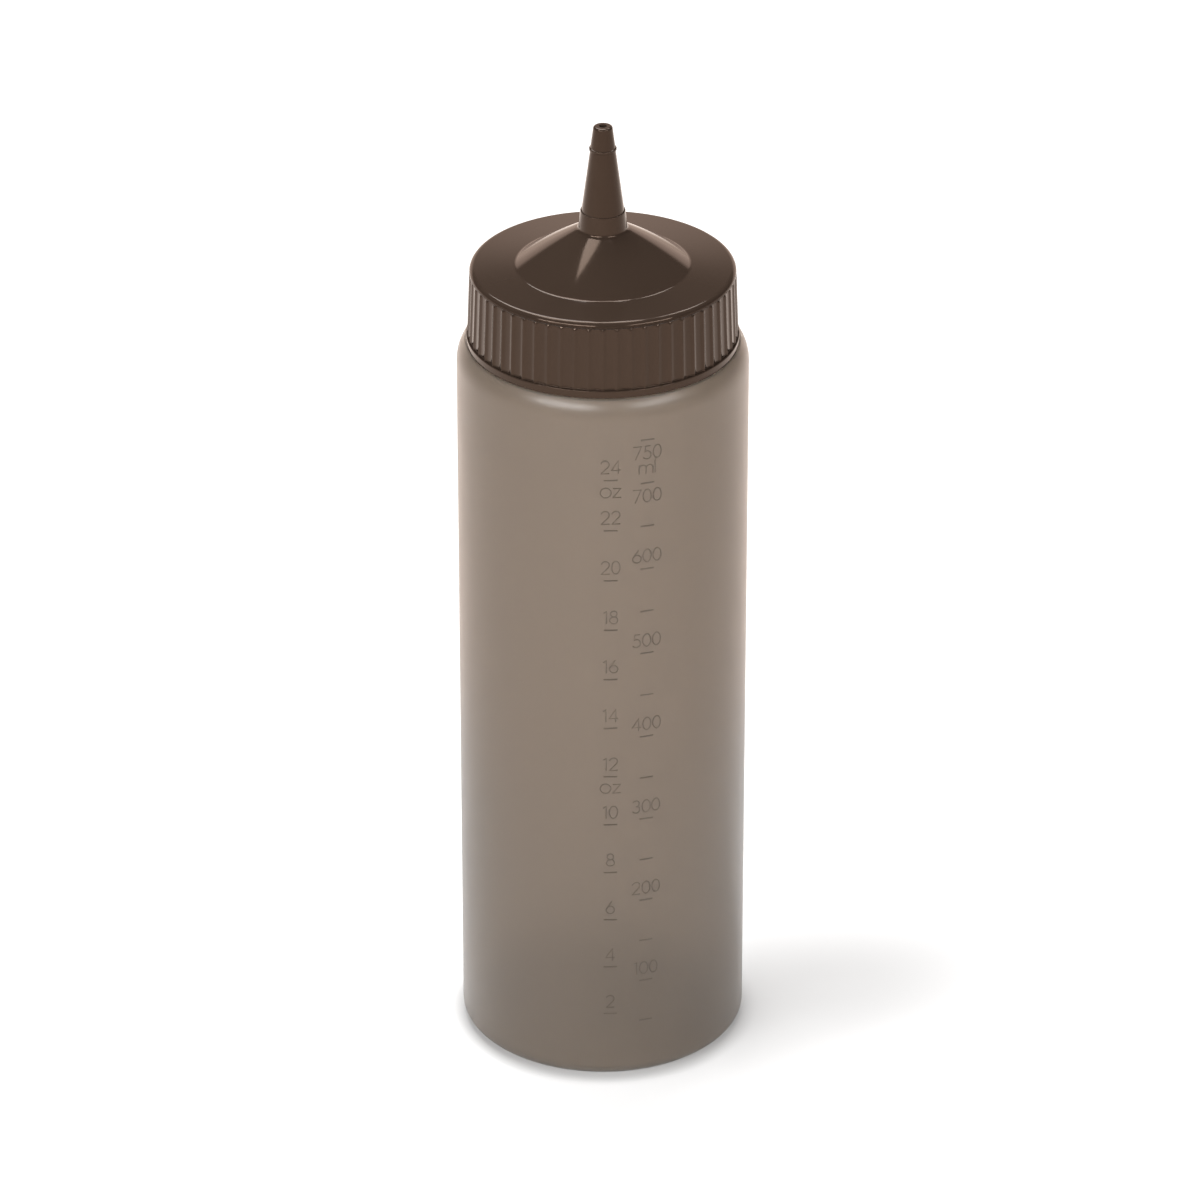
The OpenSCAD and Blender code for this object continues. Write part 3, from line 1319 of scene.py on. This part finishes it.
@dataclass
class Stage:
    """The pale floor, the studio light and the camera at the photograph's viewpoint. Sizes in metres.

    Attributes:
        floor_size: Side of the square floor.
        floor_colour: The paper's colour under the lamps.
        shade_glow: The paper's own glow where the painted shade is deepest, which darkens it there and lets
            the lamps' shadow show.
        floor_glow: Its glow out of the painted shade.
        warm_glow: The sky's warm colour.
        contact: Distances from the axis between which the painted contact shadow, a ring round the foot where
            the glow is lowered, fades out.
        under: Distances from the axis between which that painted ring fades in; under the bottle the paper
            keeps its full glow.
        far: Distances from the axis between which the painted warm reflection, a glow of the floor seen only
            in reflections, fades in.
        far_glow: The colour of that painted reflection.
        shade_middle: Middle of the painted shade beside the bottle, an ellipse where the glow is lowered over
            the lamps' real shadow.
        shade_size: Half sizes of that shade.
        shade_turn: Its turn about the Z axis, in degrees.
        shade_edge: Where it fades out, as shares of its half sizes.
        sky: Strength of the whole sky.
        horizon: What the horizon adds to it.
        horizon_band: Where that fades out, as the upward part of a direction.
        glow: What the bright place low down behind the bottle adds.
        glow_rise: Slope of that place's upper edge.
        glow_reach: How far back it starts, as the backward part of a direction.
        glow_edge: Half the width over which it fades out.
        camera_place: The camera's place.
        camera_tilt: Its tilt from straight down, in degrees.
        lens: Its focal length, in millimetres.
        sensor_width: The width of its sensor, in millimetres.
        lamps: The softboxes.
    """

    floor_size: float = 24
    floor_colour: tuple = (0.45, 0.45, 0.45)
    shade_glow: float = 0.18
    floor_glow: float = 0.65
    warm_glow: tuple = (1.0, 0.76, 0.64)
    contact: tuple = (0.036, 0.042)
    under: tuple = (0.031, 0.034)
    far: tuple = (0.13, 0.26)
    far_glow: tuple = (0.40, 0.15, 0.0)
    shade_middle: tuple = (0.062, 0.008, 0.0)
    shade_size: tuple = (0.075, 0.045, 1.0)
    shade_turn: float = 20
    shade_edge: tuple = (0.1, 1.2)
    sky: float = 0.07
    horizon: float = 0.1
    horizon_band: tuple = (0.05, 0.25)
    glow: float = 1.25
    glow_rise: float = 2.07
    glow_reach: float = 0.717
    glow_edge: float = 0.12
    camera_place: tuple = (-0.000714, -1.5446, 0.9493)
    camera_tilt: float = 61.81
    lens: float = 204
    sensor_width: float = 36
    lamps: tuple = (
        Softbox("overhead", (-0.182, 0.649, 1.0), 0.64, 1.10, 9.0, Facing.DOWN, 12),
        Softbox("overhead_right", (0.36, 0.74, 1.0), 0.30, 0.44, 9.0, Facing.DOWN),
        Softbox("front_left", (-0.626, -1.042, 0.56), 1.10, 0.24, 20.0),
        Softbox("front_right", (0.76, -0.86, 0.55), 0.80, 0.18, 17.0),
    )

    def floor(self) -> None:
        """Lays the floor, which looks white; its glow is lowered in a painted shade beside the bottle and a
        painted ring round the foot, where the lamps' shadow shows.
        """
        bpy.ops.object.select_all(action="DESELECT")
        bpy.ops.mesh.primitive_plane_add(size=self.floor_size)
        plane = bpy.context.active_object
        plane.name = "floor"
        shader = Shader(bpy.data.materials.new("floor_paper"))
        paper = shader.node("ShaderNodeBsdfDiffuse", {}, {"Color": _rgba(self.floor_colour)})
        out = shader.length(shader.place())
        # Painted contact shadow: the paper glows less in a ring round the foot.
        ring = shader.ramp(out, *self.contact, 1.0, 0.0) * shader.ramp(out, *self.under, 0.0, 1.0)
        clear = 1 - ring
        # Painted shadow: the glow is also lowered in an ellipse beside the bottle, so the floor is darker
        # there, partly from the lamps' real shadow.
        inputs = {
            "Vector": shader.place(),
            "Location": self.shade_middle,
            "Rotation": (0, 0, math.radians(self.shade_turn)),
            "Scale": self.shade_size,
        }
        aside = shader.length(shader.node("ShaderNodeMapping", {"vector_type": "TEXTURE"}, inputs))
        clear *= shader.ramp(aside, *self.shade_edge, 0.0, 1.0)
        strength = clear * (self.floor_glow - self.shade_glow) + self.shade_glow
        glow = shader.node("ShaderNodeEmission", {}, {"Color": (1, 1, 1, 1), "Strength": strength})
        lit = shader.node("ShaderNodeAddShader", {}, {0: paper, 1: glow})
        # Painted reflection: far out, the floor glows warm only in reflections, which tints what the cap and
        # the body mirror.
        mirrored = shader.node("ShaderNodeLightPath", output="Is Glossy Ray")
        through = shader.node("ShaderNodeLightPath", output="Is Transmission Ray")
        far = shader.ramp(out, *self.far, 0.0, 1.0) * mirrored * (1 - through)
        warm = shader.node("ShaderNodeEmission", {}, {"Color": _rgba(self.far_glow), "Strength": far})
        lit = shader.node("ShaderNodeAddShader", {}, {0: lit, 1: warm})
        seen = shader.node("ShaderNodeLightPath", output="Is Camera Ray")
        for ray in ("Is Glossy Ray", "Is Transmission Ray"):
            seen = seen.larger(shader.node("ShaderNodeLightPath", output=ray))
        mixed = shader.node("ShaderNodeMixShader", {}, {0: seen, 1: paper, 2: lit})
        plane.data.materials.append(shader.finish(mixed))

    def world(self) -> None:
        """Makes a dim sky, paler near the horizon and brightest low down behind the bottle."""
        world = bpy.data.worlds.new("studio")
        bpy.context.scene.world = world
        shader = Shader(world)
        way = shader.node("ShaderNodeTexCoord", output="Generated")
        back = shader.node("ShaderNodeSeparateXYZ", {}, {"Vector": way}, "Y")
        up = shader.node("ShaderNodeSeparateXYZ", {}, {"Vector": way}, "Z")
        inside = (back - self.glow_reach) * self.glow_rise - up
        level = shader.ramp(inside, -self.glow_edge, self.glow_edge, 0.0, self.glow)
        level += shader.ramp(up, *self.horizon_band, self.horizon, 0.0) + self.sky
        inputs = {"Color": _rgba(self.warm_glow), "Strength": level}
        shader.finish(shader.node("ShaderNodeBackground", {}, inputs))

    def camera(self) -> None:
        """Sets up the camera."""
        camera = bpy.data.cameras.new("camera")
        camera.lens = self.lens
        camera.sensor_width = self.sensor_width
        obj = bpy.data.objects.new("camera", camera)
        bpy.context.scene.collection.objects.link(obj)
        obj.location = self.camera_place
        obj.rotation_euler = (math.radians(self.camera_tilt), 0, 0)
        bpy.context.scene.camera = obj

    def build(self) -> None:
        """Builds the whole stage."""
        self.camera()
        self.floor()
        self.world()
        for lamp in self.lamps:
            lamp.build()
        bpy.context.scene.view_settings.view_transform = "Standard"


def main() -> None:
    """Builds every piece in order."""
    logging.basicConfig(level=logging.INFO, format="%(message)s")
    Stage().build()
    Bottle().build(FrostedPlastic().material())
    Scale().build(RIDGE_PLASTIC.material())
    Cap().build(GlossyPlastic().material())
    SealWasher().build(WasherFoam().material())


if __name__ == "__main__":
    main()
